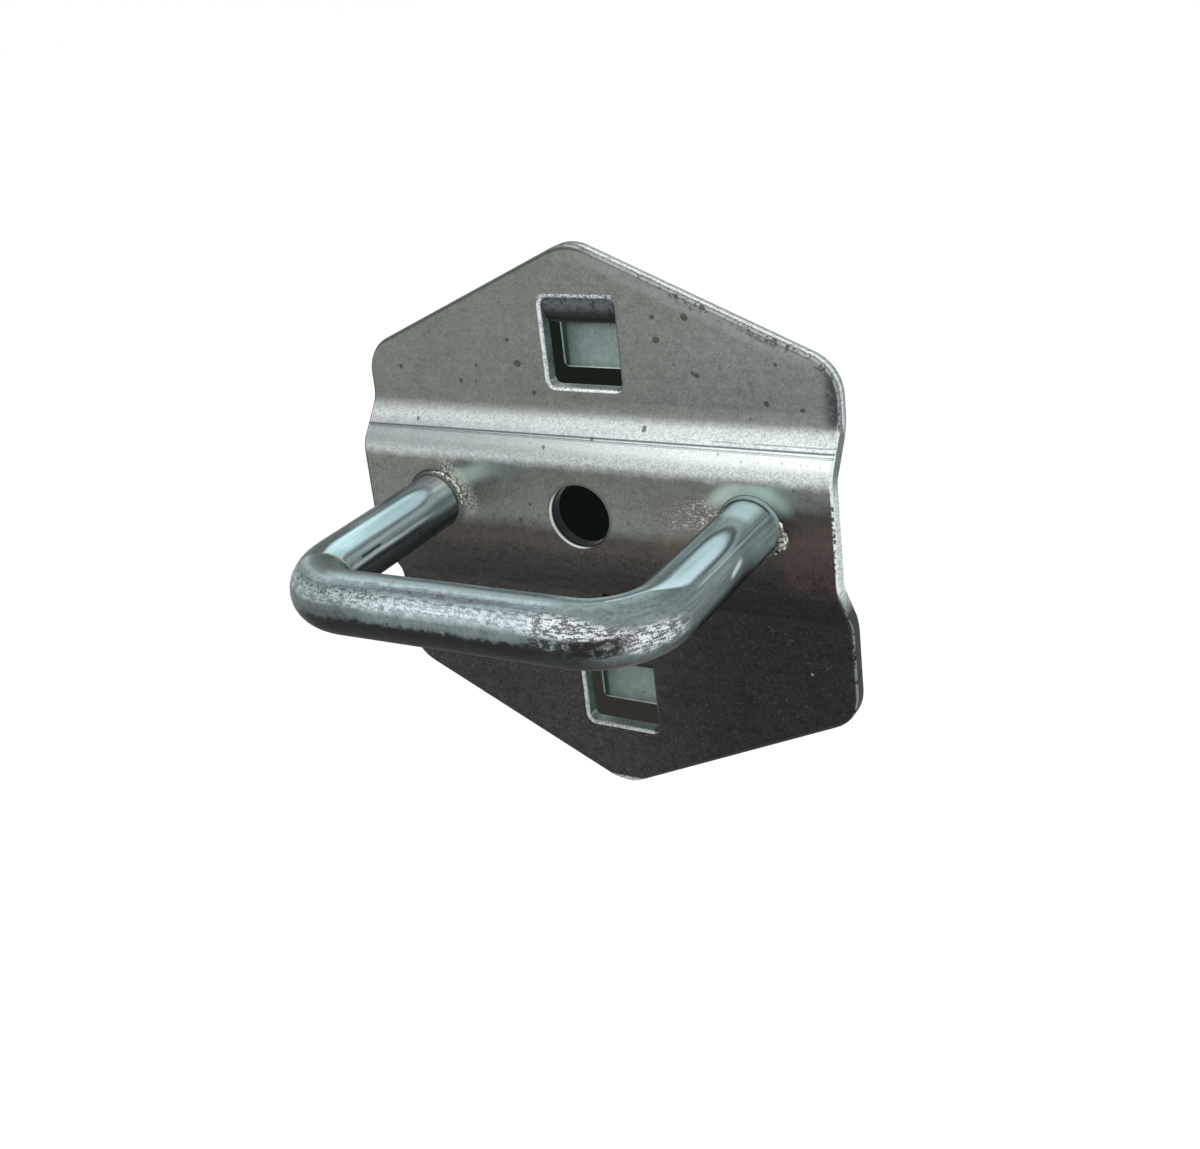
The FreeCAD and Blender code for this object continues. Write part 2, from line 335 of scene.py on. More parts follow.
def zinc_sheet():
    sheet = Finish("zinc_sheet")
    x, y, z = sheet.x, sheet.y, sheet.z
    face_x, face_y, face_z = sheet.normal
    fine = sheet.grain(0.17, detail=1.0)
    grit = sheet.grain(0.32, detail=2.0, roughness=0.6)
    mottle = sheet.grain(1.1, detail=3.0, roughness=0.6)
    rolled = sheet.grain(0.5, detail=2.0, stretch=(0.12, 1, 1))
    cloud = sheet.grain(7.0, detail=2.0)
    crumbly = sheet.add(grit, fine)
    patchy = sheet.add(mottle, grit)

    # The front from the lower point to the upper one, on the left and on the right. The lower half is
    # painted dark as a painted reflection, and the band is grey above and painted brown-grey below,
    # also a painted reflection. The bends of the upper slope are partly burnished and partly painted
    # highlight, and the slope between them is a painted highlight, brighter on the right.
    height = sheet.add(z, sheet.times(mottle, 0.5),
                       sheet.times(cloud, sheet.rise(sheet.size(sheet.less(z, 9.8)), 2.6, 6.0)))
    left = sheet.tone(height, [
        (-RAMP_END, LOW_REFLECTION_DULL), (-2.8, LOW_REFLECTION_DULL), (-1.3, BROWN_GREY_REFLECTION), (0.0, BROWN_GREY_REFLECTION),
        (1.6, SHEET_GREY), (7.0, SHEET_GREY), (7.9, BURNISHED_AND_HIGHLIGHT), (8.8, SOFT_HIGHLIGHT), (9.9, SOFT_HIGHLIGHT),
        (11.3, BURNISHED_AND_HIGHLIGHT), (12.7, SHEET_GREY), (RAMP_END, SHEET_GREY)])
    right = sheet.tone(height, [
        (-RAMP_END, LOW_REFLECTION_DARK), (-2.6, LOW_REFLECTION_DARK), (2.0, BROWN_GREY_REFLECTION), (4.6, BROWN_GREY_REFLECTION),
        (7.0, SHEET_PALE), (7.9, PALE_HIGHLIGHT), (9.9, PALE_HIGHLIGHT), (11.6, BURNISHED_AND_HIGHLIGHT), (12.4, SHEET_PALE),
        (20, SHEET_PALE), (RAMP_END, SHEET_GREY)])
    upper_share = sheet.rise(x, -20.0, 26.0)
    band_share = sheet.rise(x, 11.0, 19.0)
    lower_share = sheet.rise(sheet.add(x, sheet.times(cloud, 12.0)), -3.0, 15.0)
    share = sheet.between(sheet.rise(z, 6.6, 7.6), band_share, upper_share)
    share = sheet.between(sheet.rise(z, -4.6, -3.0), lower_share, share)
    front = sheet.mix(share, left, right)

    # Grain, which is weaker on the bright strips and stronger in the painted dark lower half.
    strips = sheet.band(z, *BURNISHED_AND_HIGHLIT_STRIPS, 0.5)
    crests = sheet.times(strips, sheet.most(sheet.rise(z, 8.9, 8.5), sheet.rise(z, 10.2, 10.4)))
    coarse = sheet.between(sheet.rise(z, 0.0, -4.0), sheet.between(strips, 1.0, 0.6), 1.9)
    speckle = sheet.add(sheet.times(fine, 0.7), sheet.times(grit, 0.6), sheet.times(mottle, 0.55),
                        sheet.times(rolled, 0.25))
    shade = sheet.add(1.0, sheet.times(speckle, coarse), sheet.times(cloud, 0.16))
    front = sheet.lit(front, shade)
    sparkle = sheet.rise(sheet.add(fine, sheet.times(grit, 0.8)), 0.06, -0.12)
    front = sheet.over(front, EDGE_GREY, crests, sparkle, 0.28)
    flecks = sheet.times(sheet.rise(sheet.add(grit, sheet.times(fine, 0.6)), 0.17, 0.3),
                         sheet.rise(z, 0.0, -4.0))
    front = sheet.over(front, LOW_FLECK, flecks, 0.3)
    # A brownish tint on the band between the screw hole and the right weld.
    brown_patch = sheet.times(sheet.band(x, 9.0, 16.0, 2.0), sheet.band(z, -0.5, 4.6, 1.2))
    front = sheet.over(front, BROWN_TINT, brown_patch, 0.35)
    sprayed = sheet.times(sheet.rise(x, 6.5, 14.6), sheet.rise(x, 15.6, 14.8),
                          sheet.rise(sheet.size(sheet.less(z, sheet.add(0.6, sheet.times(x, 0.24)))),
                                     2.4, 0.6))
    speck = sheet.grain(0.17, detail=3.0, roughness=0.8, stretch=(0.5, 1, 1))
    front = sheet.over(front, SHEET_PALE, sprayed, 0.25)
    front = sheet.over(front, SPRAYED_ZINC, sprayed, sheet.rise(speck, 0.03, 0.12), 0.85)
    # A red-brown painted reflection on the band right of the right weld.
    red_reflection = sheet.times(sheet.rise(x, 20.0, 23.0), sheet.band(sheet.add(z, mottle), -2.6, 3.4, 1.6))
    front = sheet.over(front, RED_REFLECTION, red_reflection, sheet.rise(patchy, -0.3, 0.2), 0.4)

    # The score is a thin line of painted shade, doubled towards the right.
    level_z = sheet.less(z, sheet.times(x, SCORE_SLOPE))
    score = sheet.band(level_z, *SCORE, 0.07)
    second = sheet.times(sheet.band(level_z, *SECOND_SCORE, 0.06), sheet.rise(x, 9.0, 16.0),
                         sheet.rise(rolled, -0.1, 0.02))
    front = sheet.over(front, SCORE_SHADE, score, 0.85)
    front = sheet.over(front, SCORE_SOFT_SHADE, second, 0.6)

    # Round the welds: a painted highlight running right from the left weld, cream crumbs beside the
    # left joint, pale teal painted highlights round the right weld, and a dark arc along the top of
    # each joint.
    from_left = sheet.far_from(LEFT_WELD)
    from_right = sheet.far_from(RIGHT_WELD)
    on_band = sheet.times(sheet.rise(z, 7.5, 7.0), sheet.rise(z, -3.0, -1.0))
    flare_line = sheet.add(4.9, sheet.times(sheet.rise(x, -16.5, -9.5), 1.75))
    flare = sheet.times(sheet.rise(sheet.size(sheet.less(z, flare_line)), 1.5, 0.2),
                        sheet.rise(x, -15.8, -14.6), sheet.rise(x, -1.0, -13.5), on_band)
    near_joint = sheet.times(sheet.rise(from_left, 5.8, 3.8),
                             sheet.rise(sheet.less(x, LEFT_WELD[0]), 0.4, 2.2), sheet.rise(z, 0.4, 2.8))
    front = sheet.over(front, sheet.mix(sheet.rise(x, -7.0, -13.5), TAB_SHADE, FLARE_HIGHLIGHT), flare,
                       sheet.between(sheet.rise(x, -8.0, -13.0), 0.35, 0.75))
    front = sheet.over(front, JOINT_CREAM, near_joint, sheet.rise(crumbly, -0.18, 0.06))
    halo_right = sheet.times(sheet.band(from_right, 3.3, 4.1, 1.3), on_band, sheet.rise(z, 3.8, 6.0))
    halo_wide = sheet.times(sheet.rise(from_right, 8.0, 4.0), sheet.rise(sheet.less(z, 4.6), 0.0, 1.4),
                            sheet.rise(x, 17.0, 20.0), on_band)
    front = sheet.over(front, HALO_HIGHLIGHT_SOFT, halo_wide, 0.6)
    front = sheet.over(front, HALO_HIGHLIGHT, halo_right, 0.85)
    arc_left = sheet.times(sheet.band(from_left, 3.25, 3.45, 0.15),
                            sheet.rise(sheet.less(x, LEFT_WELD[0]), 0.5, -0.5), sheet.rise(z, 2.0, 3.4))
    arc_right = sheet.times(sheet.band(from_right, 3.2, 3.3, 0.12), sheet.rise(z, 3.0, 4.0))
    front = sheet.over(front, ARC_DARK, sheet.most(arc_left, arc_right), 0.8)

    # Dark pits, some of them large, pale chips in the painted dark lower half, and a painted dark
    # reflection inside the right edge.
    clean_half = sheet.rise(z, -1.0, 2.0)
    marks = sheet.spots(LARGE_PITS, soft=0.09)
    dark = sheet.most(sheet.times(marks, 0.72),
                      sheet.times(sheet.pits(spacing=2.6, smallest=0.08, largest=0.24, kept=0.5), 0.42),
                      sheet.times(sheet.pits(spacing=0.95, smallest=0.04, largest=0.12, kept=0.35),
                                  0.3))
    front = sheet.over(front, PIT_DARK, dark, clean_half)
    chips = sheet.times(sheet.pits(spacing=4.5, smallest=0.06, largest=0.2, kept=0.3),
                        sheet.rise(z, -5.0, -7.0))
    front = sheet.over(front, CHIP_PALE, chips, 0.5)
    edge_reflection = sheet.times(sheet.rise(x, 24.9, 26.3), sheet.rise(z, 11.9, 12.9),
                         sheet.rise(z, 18.8, 17.0), sheet.rise(patchy, -0.22, 0.02))
    front = sheet.over(front, EDGE_REFLECTION_DARK, edge_reflection, 0.85)

    # The outer rim is rolled: painted highlight where the roll faces right or up, most of all beside
    # the band, painted shade where it faces left or down, dark crumbs along the upper right edge, and a
    # painted glint inside the rim at the upper right.
    rim = inside_outline(sheet)
    outward = sheet.add(sheet.times(face_x, 0.8), sheet.times(face_z, 0.5))
    roll = sheet.rise(rim, 0.42, 0.30)
    glint = sheet.times(sheet.band(rim, 0.5, 1.1, 0.8), sheet.rise(z, 17.0, 20.0),
                        sheet.rise(x, -3.0, 3.0))
    front = sheet.over(front, GLINT_GREY, glint, 0.22)
    front = sheet.over(front, ROLL_SHADE, roll, sheet.rise(outward, 0.22, 0.0), 0.7)
    dashes = sheet.rise(sheet.add(grit, sheet.times(mottle, 0.8)), -0.14, 0.02)
    upper_edge = sheet.rise(z, 11.0, 13.0)
    crumbled = sheet.times(upper_edge, sheet.rise(rim, 1.0, 0.5), sheet.rise(outward, -0.1, 0.0),
                           sheet.rise(x, 4.0, 12.0))
    front = sheet.over(front, EDGE_SHADE_AND_CRUMB, crumbled, sheet.flip(dashes), 0.7)
    edge_light = sheet.between(sheet.rise(z, -2.5, -4.0), sheet.between(upper_edge, 1.0, 0.3), 0.25)
    front = sheet.over(front, ROLL_HIGHLIGHT, roll, sheet.rise(outward, 0.15, 0.4), dashes, edge_light)
    tip = sheet.times(sheet.rise(z, -29.3, -29.6), sheet.rise(grit, -0.12, 0.02))
    front = sheet.over(front, TIP_PALE, tip)

    # The cut edges: a painted highlight beside the band and at the upper right, grey above the band,
    # painted shade low down and at the top left, with dark crumbs all along.
    cut = sheet.tone(z, [
        (-RAMP_END, EDGE_SHADE_AND_CRUMB), (-6, EDGE_SHADE_AND_CRUMB), (-3, PALE_HIGHLIGHT), (6.2, PALE_HIGHLIGHT), (8.5, EDGE_GREY),
        (16.5, EDGE_GREY), (18.8, EDGE_SHADE_AND_CRUMB), (RAMP_END, EDGE_SHADE_AND_CRUMB)])
    cut_highlight = sheet.mix(sheet.rise(sheet.add(y, sheet.times(grit, 0.4)), -1.12, -1.0), EDGE_GREY,
                           PALE_HIGHLIGHT)
    cut_highlight = sheet.over(cut_highlight, SOFT_HIGHLIGHT, sheet.rise(y, -0.6, -0.45))
    cut = sheet.over(cut, cut_highlight, upper_edge, sheet.rise(x, -2.0, 2.0))
    cut = sheet.over(cut, CRUMB_DARK, sheet.rise(crumbly, -0.02, -0.18), 0.65)
    wall = sheet.rise(sheet.size(face_y), 0.5, 0.3)
    colour = sheet.mix(sheet.times(wall, sheet.rise(rim, 1.0, 0.6)), front, cut)

    # The screw hole: its roll has a darker painted ring of shade and a painted highlight at the left
    # and below, and its wall is painted dark as shade.
    from_hole = sheet.far_from(SCREW_HOLE)
    hole_zone = sheet.rise(from_hole, 4.6, 4.2)
    to_left = sheet.add(sheet.times(face_x, 0.85), sheet.times(face_z, 0.5))
    ring = sheet.band(from_hole, 3.35, 3.68, 0.12)
    colour = sheet.over(colour, HOLE_RING_SHADE, ring, 0.5)
    colour = sheet.over(colour, HOLE_GLINT, sheet.band(from_hole, 3.3, 3.72, 0.1),
                        sheet.rise(to_left, 0.1, 0.4))
    colour = sheet.over(colour, HOLE_WALL_SHADE, hole_zone, sheet.rise(from_hole, 3.45, 3.3))

    # The openings: painted highlights on the rolls at the left and below, a speckled painted highlight
    # above, and painted shade on the roll at the right. The walls are painted darker low down and
    # lighter where they face up, the tongue's bend is painted dark as shade, darkest where it meets the
    # tab, the tab is painted darker under the bend, and the tab's edges carry painted highlights.
    tongues = []
    for centre, level in zip(HOOK_CENTRES, (1.0, LOWER_HOOK_LIGHT)):
        low = centre - OPENING_BELOW
        high = centre + OPENING_ABOVE
        beside = sheet.less(sheet.size(x), OPENING_HALF)
        past = sheet.most(beside, sheet.less(z, high), sheet.less(low, z))
        zone = sheet.times(sheet.rise(past, 0.5, 0.42), sheet.rise(y, 0.05, 0.0))
        facing_right = sheet.rise(face_x, 0.12, 0.3)
        facing_up = sheet.rise(face_z, 0.12, 0.3)
        in_front = sheet.rise(y, ROLL_FRONT + 0.12, ROLL_FRONT)
        crumbs = sheet.between(sheet.rise(crumbly, -0.2, 0.02), 0.55, 1.0)
        inner_wall = sheet.mix(sheet.rise(z, low + 5.0, low + 1.0), WALL_TEAL, WALL_LOW_SHADE)
        inner_wall = sheet.over(inner_wall, WALL_TOP_LIGHT, facing_up)
        lip = sheet.mix(in_front, inner_wall, LIP_HIGHLIGHT)
        lip = sheet.lit(lip, sheet.times(crumbs, level))
        colour = sheet.over(colour, lip, zone, sheet.most(facing_right, facing_up))
        right_lip_shade = sheet.lit(LIP_SHADE, level * level)
        colour = sheet.over(colour, right_lip_shade, zone, sheet.rise(face_x, -0.12, -0.3))
        brow = sheet.times(sheet.rise(sheet.add(sheet.size(x), mottle), 4.6, 3.4),
                           sheet.band(z, high - 0.02, high + 0.42, 0.12), in_front)
        brow_tone = sheet.lit(sheet.mix(sheet.rise(crumbly, -0.12, 0.06), BROW_HIGHLIGHT_DIM,
                                        BROW_HIGHLIGHT), level)
        colour = sheet.over(colour, brow_tone, brow)
        tongue = sheet.times(sheet.rise(y, TONGUE_ROOT, TONGUE_ROOT + 0.04),
                             sheet.rise(sheet.size(x), 4.3, 4.22), sheet.rise(face_y, 0.2, 0.1),
                             sheet.rise(z, centre - 3.3, centre - 3.2),
                             sheet.rise(z, high + 0.5, high + 0.42),
                             sheet.rise(sheet.size(face_x), 0.7, 0.5))
        tongues.append(sheet.times(tongue, sheet.rise(y, TAB_FRONT - 0.05, TAB_FRONT - 0.1)))
        bend = sheet.tone(y, [
            (-1.1, EDGE_GREY), (-0.75, TONGUE_SHADE_GREY), (-0.2, TONGUE_SHADE_DARK), (0.8, TONGUE_SHADE_GREY),
            (1.4, NEAR_BLACK), (TAB_FRONT, TONGUE_SHADE_DARK)])
        tab = sheet.tone(sheet.less(z, centre), [
            (-3.2, TAB_SHADE), (-2.2, TAB_TEAL), (0.8, TAB_SHADE), (2.1, TONGUE_SHADE_GREY)])
        tab = sheet.over(tab, TAB_SIDE, sheet.rise(x, -3.2, -3.7))
        tab = sheet.over(tab, TAB_SIDE_HIGHLIGHT, sheet.rise(x, -3.95, -4.1))
        tab = sheet.over(tab, TAB_LOW_HIGHLIGHT, sheet.rise(sheet.less(z, centre), -2.95, -3.03))
        tab = sheet.lit(tab,
                        sheet.times(sheet.add(1.0, sheet.times(mottle, 0.8), sheet.times(fine, 0.4)),
                                    0.6 + 0.4 * level))
        tab = sheet.over(tab, TAB_PIT, sheet.pits(spacing=0.9, smallest=0.05, largest=0.16, kept=0.3),
                         0.5)
        bend = sheet.over(bend, TONGUE_SHADE_DARK, sheet.rise(patchy, 0.0, 0.25), 0.6)
        tongue_tone = sheet.mix(sheet.rise(y, TAB_FRONT - 0.1, TAB_FRONT - 0.01), bend, tab)
        colour = sheet.over(colour, tongue_tone, tongue)
        edge_of_tab = sheet.times(sheet.rise(y, TAB_FRONT - 0.1, TAB_FRONT),
                                  sheet.rise(sheet.size(face_y), 0.6, 0.4),
                                  sheet.rise(sheet.size(sheet.less(z, centre)), 3.6, 3.4))
        colour = sheet.over(colour, sheet.lit(TAB_RIM_HIGHLIGHT, level), edge_of_tab)

    # The rear, and the hooks where they stand behind it, keep the plain bright zinc.
    plain = sheet.mix(sheet.add(0.5, cloud), REAR_GREY, REAR_PALE)
    plain = sheet.lit(plain, sheet.add(1.0, speckle))
    plain = sheet.over(plain, REAR_PIT, sheet.pits(spacing=2.6, smallest=0.08, largest=0.24, kept=0.5),
                       0.4)
    behind = sheet.most(sheet.rise(face_y, 0.3, 0.5), sheet.rise(y, TAB_FRONT + 0.05, TAB_FRONT + 0.2))
    colour = sheet.over(colour, plain, behind)

    lower_front = sheet.times(sheet.rise(z, 0.0, -5.0), sheet.flip(behind))
    rough = sheet.add(0.38, sheet.times(mottle, 0.2), sheet.times(lower_front, 0.08),
                      sheet.times(sheet.most(*tongues), 0.4))
    ridge = sheet.add(sheet.times(fine, 0.5), sheet.times(mottle, 0.6), sheet.times(dark, -0.8))
    return sheet.finish(colour, metal=0.75, roughness=rough,
                        normal=sheet.bump(ridge, distance=0.03 * MM, strength=0.5))


back_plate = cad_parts["back_plate"]
back_plate.data.materials.clear()
back_plate.data.materials.append(zinc_sheet())


# The rod loop is drawn steel rod, bright zinc over fine lines left by the die. The bar across the
# front is scuffed and pitted where tools have hung, and its underside is painted dark as shade.

BAND_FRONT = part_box("rod_loop")[1].y / MM
ROD_RADIUS = 3.0
LOOP_SHIFT = 0.2
LEG_HALF = 18.2
LOOP_BEND = 6.2
LOOP_HEIGHT = 2.65
LOOP_REACH = 23.4
DROOP = math.tan(math.radians(1.4))
TWIST = math.tan(math.radians(0.7))

ROD_DARK = paint(50, 55, 56)
ROD_SHADE = paint(76, 84, 84)
ROD_DULL = paint(100, 111, 110)
ROD_GREY = paint(122, 136, 136)
ROD_TEAL = paint(148, 167, 167)
ROD_PALE = paint(176, 194, 196)
ROD_BRIGHT = paint(210, 224, 228)
STREAK_HIGHLIGHT_FAR = paint(192, 218, 222)
STREAK_HIGHLIGHT_NEAR = paint(204, 234, 240)
STREAK_HIGHLIGHT_LEFT = paint(212, 248, 252)
CREAM = paint(206, 212, 184)
CAP_HIGHLIGHT = paint(206, 232, 232)
LAVENDER = paint(164, 164, 176)
ROOT_CREAM = paint(186, 182, 164)
DASH_DARK = paint(34, 42, 44)
SCUFF_DARK = paint(98, 102, 104)
SCUFF_AND_HIGHLIGHT_WHITE = paint(236, 242, 244)
LILAC_GREY = paint(104, 106, 122)
WORN_PIT = paint(62, 68, 68)
BROWN_PIT = paint(70, 62, 58)
FINE_PIT = paint(60, 66, 66)
LOW_BROWN_PATCH = paint(52, 45, 46)
LOW_DARK_PATCH = paint(36, 31, 32)
GREEN_GREY = paint(70, 84, 79)
ROD_SEAM = paint(36, 42, 42)


def zinc_rod():
    rod = Finish("zinc_rod")
    # out: distance out of the loop from the rod's centreline. up: height above it. turn: the angle
    # round the rod, 0 on the outside and 90 on top. run: distance along the rod from the plate.
    forward = rod.less(BAND_FRONT, rod.y)
    across = rod.less(rod.x, LOOP_SHIFT)
    corner_x = rod.less(rod.size(across), LEG_HALF - LOOP_BEND)
    corner_y = rod.less(forward, LOOP_REACH - LOOP_BEND)
    out_x = rod.most(corner_x, 0.0)
    out_y = rod.most(corner_y, 0.0)
    out = rod.less(rod.add(rod.reach(out_x, out_y), rod.least(rod.most(corner_x, corner_y), 0.0)),
                   LOOP_BEND)
    axis = rod.add(rod.less(LOOP_HEIGHT, rod.times(forward, DROOP)), rod.times(across, TWIST))
    up = rod.less(rod.z, axis)
    turn = rod.times(rod.math("ARCTAN2", up, out), 180 / math.pi)
    round_bend = rod.times(rod.math("ARCTAN2", out_y, out_x), LOOP_BEND)
    run = rod.add(rod.least(forward, LOOP_REACH - LOOP_BEND), round_bend,
                  rod.times(rod.least(corner_x, 0.0), -1.0))
    rod.flat = rod.join(rod.times(turn, ROD_RADIUS * math.pi / 180), run, 0.0)
    on_right = rod.rise(across, -4.0, 4.0)
    right_side = rod.rise(across, -0.1, 0.1)
    left_side = rod.flip(right_side)

    fine = rod.grain(0.15, detail=1.0)
    grit = rod.grain(0.34, detail=2.0, roughness=0.6)
    mottle = rod.grain(0.9, detail=3.0, roughness=0.65)
    cloud = rod.grain(5.0, detail=2.0)
    die_lines = rod.grain(0.30, detail=2.0, place=rod.join(out, up, rod.times(run, 0.04)))
    worn = rod.add(turn, rod.times(mottle, 14.0), rod.times(cloud, 12.0))
    steady = rod.add(turn, rod.times(cloud, 5.0), rod.times(die_lines, 3.0))

    # Each part of the rod has its own tones round the section: painted highlights, painted reflections
    # and painted shade.
    right_root = rod.tone(steady, [
        (-180, ROD_SHADE), (-90, NEAR_BLACK), (-34, NEAR_BLACK), (-6, ROD_TEAL), (20, ROD_TEAL),
        (40, ROD_GREY), (70, ROD_PALE), (100, ROD_TEAL), (118, ROD_DULL), (180, ROD_SHADE)])
    right_leg = rod.tone(steady, [
        (-180, ROD_SHADE), (-90, NEAR_BLACK), (-24, NEAR_BLACK), (3, ROD_DULL), (30, ROD_GREY),
        (50, ROD_DULL), (95, ROD_GREY), (108, ROD_TEAL), (120, ROD_SHADE), (180, ROD_SHADE)])
    left_root = rod.tone(steady, [
        (-180, ROD_SHADE), (-160, ROD_DARK), (60, ROD_DULL), (97, ROD_GREY), (127, ROD_BRIGHT),
        (157, ROD_GREY), (170, ROD_TEAL), (180, ROD_SHADE)])
    left_leg = rod.tone(steady, [
        (-180, ROD_SHADE), (-155, ROD_DARK), (60, ROD_SHADE), (85, ROD_SHADE), (104, ROD_TEAL),
        (152, ROD_PALE), (160, ROD_GREY), (167, ROD_BRIGHT), (173, ROD_SHADE), (180, ROD_DARK)])
    left_bend = rod.tone(worn, [
        (-180, ROD_SHADE), (-90, ROD_DARK), (-15, ROD_DARK), (20, ROD_DULL), (42, ROD_TEAL),
        (58, ROD_GREY), (80, ROD_PALE), (92, ROD_GREY), (104, ROD_SHADE), (130, ROD_GREY),
        (160, ROD_SHADE), (180, ROD_SHADE)])
    right_bend = rod.tone(worn, [
        (-180, ROD_SHADE), (-90, NEAR_BLACK), (-46, NEAR_BLACK), (-20, ROD_DULL), (0, ROD_TEAL),
        (20, ROD_GREY), (62, ROD_GREY), (82, ROD_TEAL), (92, ROD_GREY), (99, ROD_PALE),
        (113, ROD_DULL), (180, ROD_SHADE)])
    bar = rod.tone(rod.add(turn, rod.times(mottle, 9.0), rod.times(cloud, 5.0)), [
        (-180, ROD_SHADE), (-100, ROD_DARK), (-8, ROD_DARK), (2, ROD_DULL), (16, ROD_GREY),
        (26, ROD_PALE), (34, ROD_BRIGHT), (46, ROD_TEAL), (64, ROD_GREY), (74, ROD_PALE),
        (86, ROD_TEAL), (97, ROD_DULL), (108, ROD_TEAL), (130, ROD_DULL), (180, ROD_SHADE)])
    near_plate = rod.rise(forward, 8.0, 3.0)
    left_leg = rod.over(left_leg, left_root, near_plate)
    right_leg = rod.over(right_leg, right_root, near_plate)
    left = rod.mix(rod.rise(run, 20.2, 20.6), left_leg, left_bend)
    left = rod.over(left, bar, rod.rise(run, 28.0, 34.0))
    right = rod.mix(rod.rise(run, 18.0, 21.0), right_leg, right_bend)
    right = rod.over(right, bar, rod.rise(run, 26.4, 29.5))
    colour = rod.mix(on_right, left, right)
    on_leg = rod.rise(run, 21.0, 18.0)
    shade = rod.add(1.0, rod.times(die_lines, rod.between(on_leg, 0.5, 1.3)), rod.times(fine, 0.35),
                    rod.times(mottle, rod.between(on_leg, 0.8, 0.35)),
                    rod.times(grit, rod.between(on_leg, 0.5, 0.1)))
    colour = rod.lit(colour, shade)

    # Thin lines along the legs and the bar: a painted highlight line on the right leg, a pale line
    # between two darker ones inside the left leg, and a darker line on the bar.
    leg_highlight_line = rod.times(right_side, rod.rise(run, 17.0, 15.0), rod.band(steady, 35.0, 37.0, 2.0))
    colour = rod.over(colour, ROD_PALE, leg_highlight_line, 0.6)
    inner_dark_line = rod.times(left_side, rod.band(forward, 6.0, 18.0, 2.0),
                             rod.band(steady, 140.5, 143.5, 1.0))
    inner_pale_line = rod.times(left_side, rod.band(forward, 6.0, 18.0, 2.0),
                            rod.band(steady, 141.6, 142.4, 0.8))
    colour = rod.over(colour, ROD_SHADE, inner_dark_line, 0.6)
    colour = rod.over(colour, ROD_BRIGHT, inner_pale_line, 0.9)
    bar_line = rod.times(rod.rise(run, 27.0, 30.0), rod.band(worn, 68.6, 69.4, 0.8))
    colour = rod.over(colour, ROD_DULL, bar_line, 0.6)

    # The painted highlight near the top of each leg, a painted reflection, with soft lighter and darker
    # painted lines round it.
    def streak(side, centre, half, tip, blunt, lowest, ends):
        """A streak centred on a turn and pointed at its tip near the plate. Gives how far out of it a
        place is, 1 at its edge, and where on the rod it may show."""
        low_edge = rod.times(rod.rise(run, 16.4, 20.9), lowest)
        off = rod.less(turn, rod.add(centre, rod.times(low_edge, 0.5)))
        width = rod.most(rod.less(half, rod.times(low_edge, 0.5)), 2.5)
        past_tip = rod.times(rod.most(rod.less(tip, forward), 0.0), 1 / blunt)
        how_far = rod.reach(rod.math("DIVIDE", off, width), past_tip)
        return how_far, rod.times(side, rod.rise(run, ends + 0.25, ends))

    how_far, where = streak(right_side, centre=67.0, half=18.0, tip=11.0, blunt=4.0, lowest=36.0,
                            ends=23.5)
    soft = rod.add(how_far, rod.times(die_lines, 0.12))
    where_right = rod.times(rod.rise(soft, 1.2, 0.9), where)
    colour = rod.over(colour, ROD_PALE, rod.band(soft, 1.4, 1.5, 0.22), where,
                      rod.rise(forward, 15.0, 11.0), 0.4)
    colour = rod.over(colour, ROD_SHADE, rod.band(soft, 1.1, 1.2, 0.2), where,
                      rod.rise(forward, 17.0, 13.0), 0.5)
    streak_highlight = rod.mix(rod.rise(forward, 16.0, 11.0), STREAK_HIGHLIGHT_FAR, STREAK_HIGHLIGHT_NEAR)
    colour = rod.over(colour, rod.lit(streak_highlight, rod.add(1.0, rod.times(die_lines, 0.6))),
                      rod.rise(soft, 1.14, 0.62), where)
    how_far, where = streak(left_side, centre=120.0, half=19.0, tip=7.0, blunt=3.5, lowest=0.0,
                            ends=20.35)
    soft = rod.add(how_far, rod.times(die_lines, 0.12))
    where_left = rod.times(rod.rise(soft, 1.2, 0.9), where)
    colour = rod.over(colour, ROD_SHADE, rod.band(soft, 1.06, 1.2, 0.16), where, 0.4)
    colour = rod.over(colour, rod.lit(STREAK_HIGHLIGHT_LEFT, rod.add(1.0, rod.times(die_lines, 0.8))),
                      rod.rise(soft, 1.12, 0.66), where)

    # Small marks: cream and lavender marks at the left bend and root, a painted highlight as a pale cap
    # and a bright nick on the right leg, and a dark dash on the left leg.
    cream = rod.times(left_side, rod.band(run, 20.25, 20.75, 0.15), rod.band(turn, 102.0, 165.0, 8.0))
    colour = rod.over(colour, CREAM, cream, rod.rise(grit, -0.15, 0.05))
    cap = rod.times(right_side, rod.band(forward, 1.6, 3.4, 1.4), rod.band(turn, 66.0, 98.0, 22.0))
    colour = rod.over(colour, CAP_HIGHLIGHT, cap, 0.9)
    slant = rod.add(turn, rod.times(rod.less(forward, 8.7), 4.5))
    nick = rod.times(right_side, rod.band(forward, 8.9, 10.2, 1.0), rod.band(slant, 12.0, 16.0, 5.0))
    colour = rod.over(colour, ROD_BRIGHT, nick, 0.8)
    lavender = rod.times(left_side, rod.band(forward, 0.6, 2.4, 1.2), rod.band(turn, 88.0, 112.0, 14.0))
    colour = rod.over(colour, LAVENDER, lavender, 0.45)
    pale_root = rod.times(left_side, rod.rise(forward, 1.6, 0.4), rod.band(turn, 60.0, 130.0, 14.0))
    colour = rod.over(colour, ROOT_CREAM, pale_root, 0.5)
    dash = rod.times(left_side, rod.band(forward, 13.6, 16.2, 0.5), rod.band(turn, 157.5, 161.0, 2.0))
    colour = rod.over(colour, DASH_DARK, dash, 0.85)

